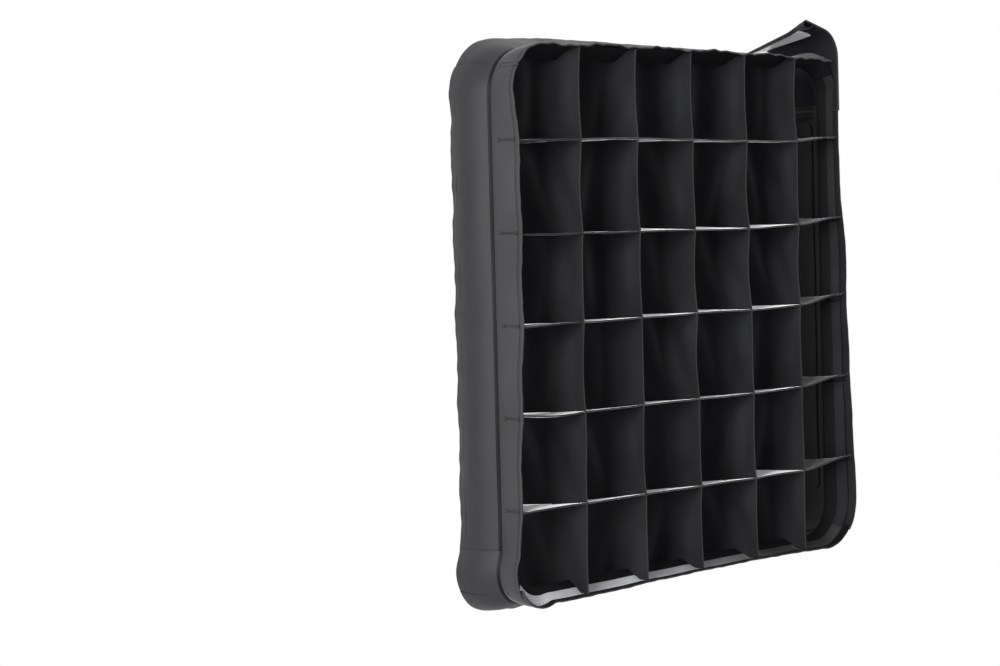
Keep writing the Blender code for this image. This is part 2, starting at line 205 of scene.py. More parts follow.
def along_line(values, share):
    """A smooth line through even places, read at a share from 0 to 1."""
    last = len(values) - 1
    place = min(max(share, 0.0), 1.0) * last
    low = min(int(place), last - 1)
    return values[low] + (values[low + 1] - values[low]) * smooth(place - low)


def waves(place, phase, parts):
    return sum(height * math.sin(place * rate + shift * phase) for rate, height, shift in parts)


# Materials
SHEEN_ROUGHNESS = 0.3
THREAD_SHADE = 0.35


def new_material(name):
    made = bpy.data.materials.new(name)
    made.use_nodes = True
    return made, made.node_tree, made.node_tree.nodes["Principled BSDF"]


def put(node, **values):
    """Sets a node's sockets to values, or links them to other sockets; an underscore stands for a space."""
    for name, value in values.items():
        socket = node.inputs[name.replace("_", " ")]
        if isinstance(value, bpy.types.NodeSocket):
            node.id_data.links.new(value, socket)
        else:
            socket.default_value = value
    return node


def add(tree, kind, **values):
    return put(tree.nodes.new("ShaderNode" + kind), **values)


def multiplied(tree, first, second, factor):
    """A colour multiplied by another, or by a grey."""
    mix = add(tree, "Mix")
    mix.data_type = "RGBA"
    mix.blend_type = "MULTIPLY"
    return put(mix, Factor=factor, A=first, B=second).outputs["Result"]


def uneven_colour(tree, noise, colour, unevenness, low=0.0, high=1.0):
    """A colour that is darker where the noise is low and lighter where it is high."""
    ramp = add(tree, "ValToRGB", Fac=noise)
    for end, place, tone in zip(ramp.color_ramp.elements, (low, high), (1 - unevenness, 1 + unevenness)):
        end.position = place
        end.color = (*[c * tone for c in colour], 1.0)
    return ramp.outputs["Color"]


def uneven(tree, noise, value, unevenness):
    ends = add(tree, "MapRange", Value=noise, To_Min=value - unevenness, To_Max=value + unevenness)
    return ends.outputs["Result"]


def woven(name, colour, roughness, specular, sheen, thread, weave_depth, crease_depth, mottle):
    """Plain-woven cloth: two crossing thread waves on the cloth's own map, soft creases and uneven dye."""
    made, tree, shader = new_material(name)
    uv = add(tree, "UVMap")
    uv.uv_map = "cloth"
    crossed = add(tree, "Math")
    crossed.operation = "MULTIPLY"
    wave_scale = 1.0 / thread / 20.0 * math.pi
    for direction, socket in zip(("X", "Y"), crossed.inputs):
        wave = add(tree, "TexWave", Vector=uv.outputs["UV"], Scale=wave_scale, Distortion=0.6, Detail=1.0)
        wave.bands_direction = direction
        tree.links.new(wave.outputs["Fac"], socket)
    weave = crossed.outputs["Value"]
    place = add(tree, "TexCoord").outputs["Object"]
    crease = add(tree, "TexNoise", Vector=place, Scale=55.0, Detail=5.0, Distortion=0.8).outputs["Fac"]
    dye = add(tree, "TexNoise", Vector=place, Scale=18.0, Detail=6.0).outputs["Fac"]
    dyed = uneven_colour(tree, dye, colour, mottle, 0.3, 0.7)
    creased = add(tree, "Bump", Height=crease, Strength=0.5, Distance=crease_depth)
    bump = add(tree, "Bump", Height=weave, Strength=0.35, Distance=weave_depth)
    put(bump, Normal=creased.outputs["Normal"])
    put(shader, Base_Color=multiplied(tree, dyed, weave, THREAD_SHADE), Normal=bump.outputs["Normal"])
    put(shader, Roughness=uneven(tree, dye, roughness, 0.06), Specular_IOR_Level=specular)
    put(shader, Sheen_Weight=sheen, Sheen_Roughness=SHEEN_ROUGHNESS)
    return made


def paint_shade_along_x(made, low, high, least):
    """Paints shade into a cloth's colour: it darkens along x, from low to high."""
    tree = made.node_tree
    shader = tree.nodes["Principled BSDF"]
    colour = shader.inputs["Base Color"].links[0].from_socket
    x = add(tree, "SeparateXYZ", Vector=add(tree, "TexCoord").outputs["Object"]).outputs["X"]
    tone = add(tree, "MapRange", Value=x, From_Min=low, From_Max=high, To_Min=1.0, To_Max=least)
    put(shader, Base_Color=multiplied(tree, colour, tone.outputs["Result"], 1.0))


def plain(name, colour, roughness, metallic, grain, grain_scale):
    """Rod tube, spring wire and thread: one colour with a fine uneven surface."""
    made, tree, shader = new_material(name)
    place = add(tree, "TexCoord").outputs["Object"]
    noise = add(tree, "TexNoise", Vector=place, Scale=grain_scale, Detail=4.0).outputs["Fac"]
    bump = add(tree, "Bump", Height=noise, Strength=0.3, Distance=grain)
    put(shader, Base_Color=uneven_colour(tree, noise, colour, 0.25), Normal=bump.outputs["Normal"])
    put(shader, Roughness=uneven(tree, noise, roughness, 0.08), Metallic=metallic)
    return made


# In order: colour, roughness, specular, sheen, thread, weave's depth, creases' depth and uneven dye
NYLON = woven("rim_nylon", (0.062, 0.061, 0.066), 0.55, 0.2, 0.2, 0.0007, 0.00012, 0.0006, 0.12)
# Painted shade: the flaps, their seam fold and the ear take a darker copy of the rim nylon's colour
FLAP = woven("flap_nylon", (0.038, 0.037, 0.041), 0.55, 0.2, 0.08, 0.0007, 0.00012, 0.0006, 0.12)
SEAM = woven("seam_fold", (0.038, 0.037, 0.041), 0.60, 0.1, 0.1, 0.0007, 0.00012, 0.0003, 0.12)
UPRIGHT = woven("upright_nylon", (0.0243, 0.0250, 0.0278), 0.60, 0.05, 0.0, 0.0006, 0.0001, 0.0008, 0.25)
LEVEL = woven("level_nylon", (0.0110, 0.0110, 0.0120), 0.14, 0.2, 1.0, 0.0006, 0.00004, 0.0002, 0.25)
# Painted shade: a copy of the level cloth with less sheen, for chosen cells
LEVEL_SHADED = woven("level_nylon_dull", (0.0110, 0.0110, 0.0120), 0.14, 0.2, 0.25, 0.0006, 0.00004, 0.0002, 0.25)
LINING = woven("dark_lining", (0.0090, 0.0090, 0.0100), 0.45, 0.1, 0.12, 0.0007, 0.0001, 0.0004, 0.2)
# Painted sheen: a pale grey for the bottom strip's inner face and the bottom sleeve's slope, standing in
# for their bright grazing sheen
PALE_PAINTED_SHEEN = woven("pale_facing", (0.58, 0.58, 0.59), 0.50, 0.2, 0.4, 0.0012, 0.0002, 0.0004, 0.20)
INSIDE = woven("sleeve_cloth", (0.0100, 0.0100, 0.0110), 0.60, 0.05, 0.0, 0.0007, 0.0001, 0.0004, 0.2)
# Painted highlight: a lighter copy of the upright cloth for the uprights' rolled front edges
EDGE = woven("louver_edge", (0.031, 0.031, 0.033), 0.55, 0.1, 0.1, 0.0006, 0.0001, 0.0003, 0.15)
BINDING = woven("binding_tape", (0.055, 0.054, 0.058), 0.6, 0.2, 0.1, 0.0008, 0.0002, 0.0003, 0.1)
LOOPS = woven("loop_tape_pile", (0.0095, 0.0095, 0.0102), 0.45, 0.1, 0.12, 0.0007, 0.0001, 0.0004, 0.2)
# A pale tape whose near-white colour is also a painted highlight for the tape's bright grazing reflection
HOOKS = woven("hook_tape_plastic", (0.90, 0.90, 0.91), 0.16, 1.0, 1.0, 0.0014, 0.00003, 0.00005, 0.1)
# Painted shade: the pale painted sheen darkens towards high x
paint_shade_along_x(PALE_PAINTED_SHEEN, low=-0.08, high=0.12, least=0.04)
THREAD = plain("black_thread", (0.008, 0.008, 0.009), 0.6, 0.0, 0.0001, 900.0)
ROD = plain("rod_tube", (0.03, 0.03, 0.03), 0.4, 0.0, 0.00005, 400.0)
STEEL = plain("spring_steel", (0.45, 0.45, 0.46), 0.33, 1.0, 0.00003, 700.0)


# Cloth pieces
FLAT_FACE_WEIGHT = 90


def attach(piece, body, node=None):
    """Puts a piece on its body, in place of a node of the frame."""
    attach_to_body(piece, body)
    if node is not None:
        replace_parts(piece, node)


def finish_mesh(name, verts, faces, skin, uvs=None):
    mesh = bpy.data.meshes.new(name)
    mesh.from_pydata(verts, [], faces)
    if uvs is not None:
        layer = mesh.uv_layers.new(name="cloth")
        for loop in mesh.loops:
            layer.data[loop.index].uv = uvs[loop.vertex_index]
    mesh.materials.append(skin)
    mesh.shade_smooth()
    thing = bpy.data.objects.new(name, mesh)
    bpy.context.scene.collection.objects.link(thing)
    return thing


def cloth(name, us, vs, shape, thickness, skin, missing=None, lining=None, trim=None):
    """A sheet over the stations us and vs, with the cloth's own map in metres along it.

    A lining is the inner layer's own material; a trim is a material and a test of which faces have it.
    Where a sheet has both, trimmed faces show the lining outside and the trim inside.
    """
    rows = [[Vector(shape(u, v)) for u in us] for v in vs]
    lengths = [0.0]
    middle = len(us) // 2
    for below, above in zip(rows, rows[1:]):
        lengths.append(lengths[-1] + (above[middle] - below[middle]).length)
    wide = len(us)
    faces, trimmed = [], []
    for j in range(len(vs) - 1):
        for i in range(wide - 1):
            if missing is None or not missing((us[i] + us[i + 1]) / 2, (vs[j], vs[j + 1])):
                corner = j * wide + i
                faces.append((corner, corner + 1, corner + wide + 1, corner + wide))
                trimmed.append(trim is not None and trim[1]((us[i] + us[i + 1]) / 2, (vs[j], vs[j + 1])))
    used = sorted({index for face in faces for index in face})
    renumber = {old: new for new, old in enumerate(used)}
    verts = [rows[index // wide][index % wide] for index in used]
    uvs = [(us[index % wide], lengths[index // wide]) for index in used]
    faces = [tuple(renumber[index] for index in face) for face in faces]
    thing = finish_mesh(name, verts, faces, skin, uvs)
    solid = thing.modifiers.new("thickness", "SOLIDIFY")
    solid.thickness = thickness
    solid.offset = 0.0
    if lining is not None:
        thing.data.materials.append(lining)
        solid.material_offset = 1
    if trim is not None:
        thing.data.materials.append(trim[0])
        thing.data.polygons.foreach_set("material_index", [int(flag) for flag in trimmed])
    thing.modifiers.new("even_normals", "WEIGHTED_NORMAL").weight = FLAT_FACE_WEIGHT
    return thing


def stitches(name, runs, length, gap, radius):
    """Thread dashes along runs of points: each dash is a slim capsule."""
    verts, faces = [], []
    for run in runs:
        run = [Vector(point) for point in run]
        steps = [(b - a).length for a, b in zip(run, run[1:])]
        total = sum(steps)
        count = max(1, int(total / (length + gap)))
        for dash in range(count):
            start = (dash + 0.5) * total / count - length / 2
            ends = (point_on(run, steps, start), point_on(run, steps, start + length))
            add_dash(verts, faces, *ends, radius)
    return finish_mesh(name, verts, faces, THREAD)


def point_on(run, steps, distance):
    for point, after, step in zip(run, run[1:], steps):
        if distance <= step or after is run[-1]:
            return point.lerp(after, min(1.0, max(0.0, distance / step)))
        distance -= step
    return run[-1]


DASH_SIDES = 6
DASH_RINGS = ((-0.12, 0.45), (0.1, 1.0), (0.9, 1.0), (1.12, 0.45))


def add_dash(verts, faces, start, end, radius):
    line = (end - start).normalized()
    side = line.orthogonal().normalized()
    other = line.cross(side)
    first = len(verts)
    for share, scale in DASH_RINGS:
        middle = start + (end - start) * share
        for corner in range(DASH_SIDES):
            turn = corner * 2 * math.pi / DASH_SIDES
            verts.append(middle + (side * math.cos(turn) + other * math.sin(turn)) * radius * scale)
    last = len(verts) - DASH_SIDES
    for ring in range(first, last, DASH_SIDES):
        for corner in range(DASH_SIDES):
            a, b = ring + corner, ring + (corner + 1) % DASH_SIDES
            faces.append((a, b, b + DASH_SIDES, a + DASH_SIDES))
    faces.append(tuple(first + corner for corner in reversed(range(DASH_SIDES))))
    faces.append(tuple(last + corner for corner in range(DASH_SIDES)))


# The rim's shape
def side_half(side):
    """Half a side's length, and how far out the side lies."""
    if side in ("top", "bottom"):
        return HALF_WIDTH, HALF_HEIGHT
    return HALF_HEIGHT, HALF_WIDTH


def to_world(side, x, back, out):
    turn = SIDE_TURN[side]
    reach = side_half(side)[1] + out
    return (
        x * math.cos(turn) + reach * math.sin(turn),
        back,
        -x * math.sin(turn) + reach * math.cos(turn),
    )


def share_along(side, station):
    """The station's share along its side, from low x or z to high."""
    half = side_half(side)[0]
    share = 0.5 + station / (2 * half)
    return share if side in ("top", "left") else 1 - share


def at_open_corner(side, station):
    """Whether a station is past the straight stretch at the corner where the ear stands open."""
    straight = side_half(side)[0] - CORNER_RADIUS
    return side == "top" and station > straight or side == "right" and station < -straight


def wrapped(side, station, back, out, sag=1.0):
    """A point on the rim, carried round the corners past the straight stretch."""
    straight = side_half(side)[0] - CORNER_RADIUS
    beyond = abs(station) - straight
    if beyond <= 0:
        return to_world(side, station, back, out)
    turn = beyond / CORNER_RADIUS
    if side == "bottom" and station > 0 or side == "left" and station < 0:
        out += CORNER_SAG * sag * math.sin(2 * min(turn, math.pi / 2))
    reach = CORNER_RADIUS + out
    x = math.copysign(straight + reach * math.sin(turn), station)
    return to_world(side, x, back, reach * math.cos(turn) - CORNER_RADIUS)


def unrolled(side, station, back, out):
    """A point on the rim that goes straight on at the open corner."""
    if at_open_corner(side, station):
        return to_world(side, station, back, out)
    return wrapped(side, station, back, out)


def end_turn(side):
    return SEAM_ANGLE if side in ("top", "bottom") else math.pi / 2 - SEAM_ANGLE


def rim_end(side, gap):
    return side_half(side)[0] - CORNER_RADIUS + CORNER_RADIUS * end_turn(side) - gap / 2


def strip_ends(side):
    """Where a strip starts and ends: top and bottom lap over the sides, but not at the open corner."""
    end = rim_end(side, 0.0) + (SEAM_LAP if side in ("top", "bottom") else 0.0)
    return -end, TOP_STRIP_END if side == "top" else end


def lap_lift(side, station, end):
    """How far the lapped end of a top or bottom piece lies outside the piece beneath it."""
    if side not in ("top", "bottom") or at_open_corner(side, station):
        return 0.0
    return LAP_LIFT * smooth((abs(station) - end + LAP_START) / LAP_RUN)


def louver_places(half):
    return [half * (2 * index / CELLS - 1) for index in range(1, CELLS)]


def with_places(stations, places, room, shifts=(0.0,)):
    """Stations with those near each place taken out and the place's own put in."""
    for place in places:
        stations = [s for s in stations if abs(s - place) > room]
        stations += [place + shift for shift in shifts]
    return sorted(stations)


RIM_STEP = 0.003
SEAM_CLEAR = 0.0035
SEAM_STEPS = (-0.003, -0.0015, -0.0007, 0.0, 0.0007, 0.0015, 0.003)


def rim_stations(side):
    """Even stations along a strip, with close ones at each louver's seam."""
    low, high = strip_ends(side)
    even = spread(low, high, round((high - low) / RIM_STEP))
    return with_places(even, louver_places(side_half(side)[0]), SEAM_CLEAR, SEAM_STEPS)


def puff(side, station):
    """How far the cloth stands out between two louver seams, from 0 to 1."""
    half = side_half(side)[0]
    share = (station + half) / (2 * half) * CELLS
    return math.sin(math.pi * (share % 1.0)) ** 2


STRIP_PUFF = {"left": 0.0008, "right": 0.0022, "top": 0.0018, "bottom": 0.0006}
# How late towards the front edge the strip leans, puffs and ripples
STRIP_LEAN, PUFF_LEAN, RIPPLE_LEAN = 1.3, 0.6, 5
STRIP_BULGE = 0.0009
STRIP_SCALLOP = 0.0010
TOP_LIFT_START, TOP_LIFT_RUN = 0.165, 0.045
EDGE_RIPPLE = {"left": 0.0002, "right": 0.0001, "top": 0.0004, "bottom": 0.00012}


def edge_ripple(side, station):
    """The small crumples of a sewn edge."""
    return EDGE_RIPPLE[side] * waves(station, SIDE_PHASE[side], EDGE_WAVES)


def strip_point(side, station, back, out):
    """A point of the front strip, whose front edge goes where the slack cloth lies."""
    forward = min(1.0, max(0.0, -back / STRIP_DEPTH))
    outs, backs = FRONT_SHIFT[side]
    share = share_along(side, station)
    swell = STRIP_PUFF[side] * puff(side, station) * forward ** PUFF_LEAN
    lean = forward ** STRIP_LEAN
    out += along_line(outs, share) * lean + swell + STRIP_BULGE * math.sin(math.pi * forward)
    out += edge_ripple(side, station) * forward ** RIPPLE_LEAN
    out += lap_lift(side, station, -strip_ends(side)[0])
    if side == "top":
        out += TOP_STRIP_LIFT * smooth((station - TOP_LIFT_START) / TOP_LIFT_RUN) * (1 - forward)
    back += along_line(backs, share) * lean + STRIP_SCALLOP * puff(side, station) * forward
    return unrolled(side, station, back, out)


STRIP_BACK = -0.0002
GROOVE_DEPTH, GROOVE_WIDTH = 0.0007, 0.0011
GROOVE_FRONT, GROOVE_BACK = -0.026, -0.004


def make_strip(side):
    """The rim's cloth, drawn in along each louver's seam."""
    seams = louver_places(side_half(side)[0])

    def shape(station, back):
        near = min(abs(station - seam) for seam in seams)
        groove = GROOVE_DEPTH * math.exp(-((near / GROOVE_WIDTH) ** 2))
        groove *= GROOVE_FRONT < back < GROOVE_BACK
        return strip_point(side, station, back, -CLOTH / 2 - groove)

    backs = spread(-STRIP_DEPTH, STRIP_BACK, 12)
    stations = rim_stations(side)
    # The bottom strip's inner face has the pale painted sheen
    inner = PALE_PAINTED_SHEEN if side == "bottom" else LINING
    piece = cloth("strip_cloth_" + side, stations, backs, shape, CLOTH, NYLON, lining=inner)
    attach(piece, "grid", "front_strip_" + side)


def make_binding(side):
    """Tape rolled over the strip's front edge."""
    profile = [(BINDING_ROLL, BINDING_LEG)]
    for turn in spread(0.0, math.pi, 8):
        profile.append((BINDING_ROLL * math.cos(turn), -BINDING_ROLL * math.sin(turn)))
    profile.append((-BINDING_ROLL, BINDING_INNER_LEG))

    def shape(station, index):
        out, ahead = profile[index]
        x, y, z = strip_point(side, station, -STRIP_DEPTH + max(ahead, 0.0), out - CLOTH / 2)
        return x, y + min(ahead, 0.0), z

    # Painted light: the right binding's inner leg takes the lighter upright cloth, so the right wall looks
    # lit near its front edge
    inner_skin = UPRIGHT if side == "right" else INSIDE
    inner = (inner_skin, lambda along, pair: pair[0] >= BINDING_INSIDE_ROW)
    stations = rim_stations(side)
    piece = cloth("binding_" + side, stations, range(len(profile)), shape, CLOTH, BINDING, trim=inner)
    attach(piece, "grid", "edge_binding_" + side)


STITCH_BACK = -STRIP_DEPTH + BINDING_LEG + 0.0010
CORNER_STITCHES = (-0.0245, -0.0020)
TACK_SPAN = (-0.0245, -0.0055)
TACK_BARS = (-0.0225, -0.0072)
TACK_BAR_HALF, TACK_BAR_WIDE = 0.0013, 0.0011
TACK_LIFT = 0.35 * CLOTH
SHADOW_CORD_BACK, SHADOW_CORD_OUT = 0.0002, -0.0003


def make_strip_thread(side):
    """Seam stitches behind the binding, a black cord at the flap's seam as a painted shadow line, corner
    stitches and bar tacks.
    """
    low, high = (end - math.copysign(STITCH_INSET, end) for end in strip_ends(side))
    lift = CLOTH / 2
    runs = [[strip_point(side, s, STITCH_BACK, lift) for s in spread(low, high, 180)]]
    if side in ("top", "bottom"):
        for edge in (low, high):
            runs.append([strip_point(side, edge, back, lift) for back in spread(*CORNER_STITCHES, 12)])
    running = stitches("strip_stitches_" + side, runs, *SEAM_STITCH)
    shadow_cord_end = rim_end(side, 0.0)
    shadow_cord_line = spread(-shadow_cord_end, min(shadow_cord_end, strip_ends(side)[1]), 100)
    shadow_cord_run = [unrolled(side, s, SHADOW_CORD_BACK, SHADOW_CORD_OUT) for s in shadow_cord_line]
    shadow_cord = stitches("seam_welt_" + side, [shadow_cord_run], *SEAM_SHADOW_CORD)
    tacks = []
    for seam in louver_places(side_half(side)[0]):
        tacks.append([strip_point(side, seam, back, 0.0) for back in spread(*TACK_SPAN, 16)])
        for back in TACK_BARS:
            for row in spread(back - TACK_BAR_HALF, back + TACK_BAR_HALF, 5):
                ends = (seam - TACK_BAR_WIDE, seam + TACK_BAR_WIDE)
                tacks.append([strip_point(side, s, row, TACK_LIFT) for s in ends])
    tack = stitches("bar_tacks_" + side, tacks, *TACK_STITCH)
    for piece in (running, shadow_cord, tack):
        attach(piece, "grid")


def sleeve_profile():
    """The sleeve's outline, out and back: a leg, a loop over the rod and the foot of its slope."""
    radius = ROD_RADIUS + SLEEVE_ROOM + CLOTH / 2
    foot_out = -CLOTH * 1.5
    away = math.hypot(SLEEVE_FOOT - ROD_BACK, foot_out - ROD_OUT)
    toward = math.atan2(SLEEVE_FOOT - ROD_BACK, foot_out - ROD_OUT) % (2 * math.pi)
    turns = spread(SLEEVE_START, toward - math.acos(radius / away), 14)
    loop = [(ROD_OUT + radius * math.cos(turn), ROD_BACK + radius * math.sin(turn)) for turn in turns]
    return [(foot_out, loop[0][1])] + loop, (foot_out, SLEEVE_FOOT)


OPEN_FOOT_RUN = 0.02
SLIT_CLEAR = 0.002


def make_sleeve(side):
    """The cloth over the frame rod, sewn to the strip along both its edges and slit where louvers pass."""
    over, foot = sleeve_profile()
    slope = spread(0.0, 1.0, 6)[1:]
    half = side_half(side)[0]
    straight = half - CORNER_RADIUS

    def foot_point(station):
        on_strip = Vector(strip_point(side, station, foot[1], foot[0]))
        if not at_open_corner(side, station):
            return on_strip
        on_corner = Vector(wrapped(side, station, foot[1], foot[0]))
        return on_strip.lerp(on_corner, smooth((abs(station) - straight) / OPEN_FOOT_RUN))

    def shape(station, index):
        out, back = over[min(index, len(over) - 1)]
        point = Vector(wrapped(side, station, back, out, sag=float(index == 0)))
        if index < len(over):
            return point
        return point.lerp(foot_point(station), slope[index - len(over)])

    end = rim_end(side, SLEEVE_GAP)
    slits = louver_places(half)
    stations = with_places(spread(-end, end, 110), slits, SLIT_CLEAR, (-SLOT_HALF, SLOT_HALF))

    def slit(station, pair):
        near = min(abs(station - place) for place in slits)
        return near < SLOT_HALF and pair[0] >= len(over) - 1

    rows = range(len(over) + len(slope))
    painted_light_from = len(rows) - 1 - PAINTED_LIGHT_ROWS
    # Painted light: the bottom sleeve's slope takes the pale painted sheen and the right one takes the
    # lighter upright cloth, so the right wall looks lit near its front
    skin = {"bottom": PALE_PAINTED_SHEEN, "right": UPRIGHT}.get(side)
    painted_light = (skin, lambda along, pair: pair[0] >= painted_light_from) if skin else None
    piece = cloth("sleeve_" + side, stations, rows, shape, CLOTH, INSIDE, slit, trim=painted_light)
    attach(piece, "grid", "rod_sleeve_" + side)


# Louvers
END_REACH = 0.045
FIRST_UPRIGHT_STRETCH = (0.0125, 0.0080)
LOUVER_SCALLOP = 0.0012
TAB_CLEAR, SLOT_CLEAR = 0.0012, 0.0022
FLAT_START = 0.002
RIM_REACH = 0.03
# How much less the rear edge shifts than the front edge
REAR_STAY = 0.6
# The slack in each cell: its belly, its streaks and their skew, and how much each kind of louver has
BELLY, STREAK, SKEW = (0.0008, 0.0024), (0.0003, 0.0008), (-0.8, 0.8)
SLACK_SCALES = {"upright": (1.0, 4.0), "level": (0.3, 0.3)}
BELLY_EDGE, BELLY_AHEAD = 0.35, 0.15
STREAK_COUNT, STREAK_HOLD = 2.1, 0.7
STREAK_FRONT, STREAK_RUN = 0.3, 0.2


def shift_at(x, z):
    """How far the lattice lies from its true place at a point of the front plane."""
    share_x = (x + HALF_WIDTH) / (2 * HALF_WIDTH)
    share_z = (z + HALF_HEIGHT) / (2 * HALF_HEIGHT)
    columns = [-along_line(FRONT_SHIFT["left"][0], share_z)]
    columns += [lean[1] + (lean[0] - lean[1]) * share_z for lean in UPRIGHT_LEAN]
    columns.append(along_line(FRONT_SHIFT["right"][0], share_z))
    rows = [-along_line(FRONT_SHIFT["bottom"][0], share_x)]
    rows += [along_line(line, share_x) for line in LEVEL_RISE]
    rows.append(along_line(FRONT_SHIFT["top"][0], share_x))
    across = np.interp(share_x * CELLS, range(CELLS + 1), columns)
    up = np.interp(share_z * CELLS, range(CELLS + 1), rows)
    left = along_line(FRONT_SHIFT["left"][1], share_z) * max(0.0, 1 - share_x * CELLS)
    right = along_line(FRONT_SHIFT["right"][1], share_z) * max(0.0, 1 - (1 - share_x) * CELLS)
    drops = [0.0] + [along_line(line, share_x) for line in LEVEL_DROP] + [0.0]
    drop = np.interp(share_z * CELLS, range(CELLS + 1), drops)
    return across, left + right, up, drop


def end_reach(side, share, from_end, back):
    """How far a louver's end follows the flap outward behind the strip."""
    to_hem = along_line(HEM_OUT[side], share) - 2 * HEM_RADIUS - 2 * CLOTH + LOUVER_INSET
    return max(0.0, to_hem) * smooth(back / LOUVER_REAR) * smooth(1 - from_end / END_REACH)


def billow(seed_cells, along, share_deep):
    """Offset of slack cloth from its plane, nothing at the crossings that hold it."""
    cell = min(int(along * CELLS), CELLS - 1)
    inside = along * CELLS - cell
    lift, streak, phase, skew = seed_cells[cell]
    hold = math.sin(math.pi * inside)
    deep = math.sin(math.pi * min(1.0, share_deep + BELLY_AHEAD))
    belly = lift * hold * (BELLY_EDGE + (1 - BELLY_EDGE) * deep)
    turns = share_deep * STREAK_COUNT + phase + skew * inside
    ripple = streak * hold ** STREAK_HOLD * math.sin(2 * math.pi * turns)
    return belly + ripple * (STREAK_FRONT + (1 - STREAK_FRONT) * smooth(share_deep / STREAK_RUN))


def make_louver(kind, index):
    """A louver with a hemmed front edge, slots at its crossings and tabs that pass the rods."""
    upright = kind == "upright"
    half_along, half_across = (HALF_HEIGHT, HALF_WIDTH) if upright else (HALF_WIDTH, HALF_HEIGHT)
    plane = louver_places(half_across)[index - 1]
    belly_scale, streak_scale = SLACK_SCALES[kind]
    seed_cells = []
    for _ in range(CELLS):
        lift = chance.uniform(*BELLY) * chance.choice((-1, 1)) * belly_scale
        streak = chance.uniform(*STREAK) * streak_scale
        seed_cells.append((lift, streak, chance.random(), chance.uniform(*SKEW)))
    if not upright and index == SLACK_LEVEL:
        seed_cells[0] = (LEVEL_SLACK, *seed_cells[0][1:])
    crossings = louver_places(half_along)
    ends = ("bottom", "top") if upright else ("left", "right")
    share_across = (plane + half_across) / (2 * half_across)
    end = half_along - CLOTH * 2
    rear_end = half_along - LOUVER_INSET
    stretch = FIRST_UPRIGHT_STRETCH if upright and index == 1 else (0.0, 0.0)
    bite_end = half_along - SLEEVE_INSIDE
    us = with_places(spread(-end, end, 132), (-rear_end, -bite_end, bite_end, rear_end), TAB_CLEAR)
    us = with_places(us, crossings, SLOT_CLEAR, (-SLOT_HALF, SLOT_HALF))
    middle = (LOUVER_FRONT + LOUVER_REAR) / 2
    step = ROD_BACK - ROD_RADIUS - ROD_ROOM
    behind = ROD_BACK + ROD_RADIUS + ROD_ROOM
    depth = LOUVER_REAR - LOUVER_FRONT
    lines = [("hem", LOUVER_FRONT + LOUVER_HEM), ("hem", LOUVER_FRONT + LOUVER_HEM / 2)]
    lines += [("nose", turn) for turn in spread(0.0, math.pi, 6)]
    flat_lines = spread(LOUVER_FRONT + FLAT_START, LOUVER_REAR, 22)
    for wanted in (middle, step, behind):
        nearest = min(range(len(flat_lines)), key=lambda k: abs(flat_lines[k] - wanted))
        flat_lines[nearest] = wanted
    lines += [("flat", line) for line in flat_lines]

    def shape(along, line):
        sort, value = line
        back, off = value, 0.0
        if sort == "nose":
            back = LOUVER_FRONT + LOUVER_NOSE - LOUVER_NOSE * math.sin(value)
            off = LOUVER_NOSE * (1 + math.cos(value))
        elif sort == "hem":
            off = 2 * LOUVER_NOSE
        share = (along + half_along) / (2 * half_along)
        share_deep = (back - LOUVER_FRONT) / depth
        inside = share * CELLS % 1.0
        scallop = LOUVER_SCALLOP * 4 * inside * (1 - inside)
        back += scallop * (1 - 2 * share_deep)
        off += billow(seed_cells, share, share_deep)
        reach = end_reach(ends[along > 0], share_across, half_along - abs(along), back)
        along += math.copysign(reach, along)
        point = [plane + off, back, along] if upright else [along, back, plane - off]
        dx, dy, dz, drop = shift_at(point[0], point[2])
        at_rim = smooth(1 - (half_along - abs(along)) / RIM_REACH)
        strip_share = min(1.0, max(0.0, -back / STRIP_DEPTH)) ** STRIP_LEAN
        forward = (1 - REAR_STAY * share_deep) * (1 - at_rim) + strip_share * at_rim
        y = point[1] + dy * (1 - smooth(share_deep * 2)) + along_line(stretch, share) * share_deep ** 2
        return point[0] + dx * forward, y, point[2] + dz * forward - drop * share_deep

    def missing(along, pair):
        backs = [value if sort != "nose" else LOUVER_FRONT for sort, value in pair]
        back = sum(backs) / 2
        if abs(along) > rear_end and back > step:
            return True
        if abs(along) > bite_end and step < back < behind:
            return True
        at_crossing = min(abs(along - place) for place in crossings) < SLOT_HALF
        return at_crossing and (back > middle if upright else back < middle)

    name = f"louver_{kind}_cloth_{index}"
    # The uprights' noses take the lighter edge cloth as a painted highlight
    nose_edge = (EDGE, lambda along, pair: pair[0][0] == pair[1][0] == "nose")
    # Painted shade: the level cloth's shaded copy in its first cells and its last
    shaded_below = [-half_along, *crossings][SHADED_LEVEL_CELLS[index - 1]]
    shaded_ends = (LEVEL_SHADED, lambda along, pair: along > crossings[-1] or along < shaded_below)
    skin, trim = (UPRIGHT, nose_edge) if upright else (LEVEL, shaded_ends)
    piece = cloth(name, us, lines, shape, LOUVER_CLOTH, skin, missing, trim=trim)
    attach(piece, "grid", f"louver_{kind}_{index}")


# Flaps
SEAM_ROWS = 1
SEAM_BACK = 0.0006
FLAP_WAVE, FLAP_RIPPLE, TOP_RIPPLE = 0.0006, 0.00035, 0.0001
# How late towards the hem a flap swells and leans
SWELL_LEAN, HEM_LEAN = 0.9, 1.2
# How much of its radius the hem is in by half way along its inner layer, and where that layer ends
HEM_FULL, HEM_END_IN = 1.9, CLOTH + 0.0006
HEM_WAVE, HEM_WAVE_RATE, HEM_WAVE_SKEW = 0.0007, 95, 1.3


def to_seam(side, station):
    """How far round its corner a station is: 0 on the straight stretch, 1 at the corner seam."""
    straight = side_half(side)[0] - CORNER_RADIUS
    return smooth((abs(station) - straight) / (CORNER_RADIUS * end_turn(side)))


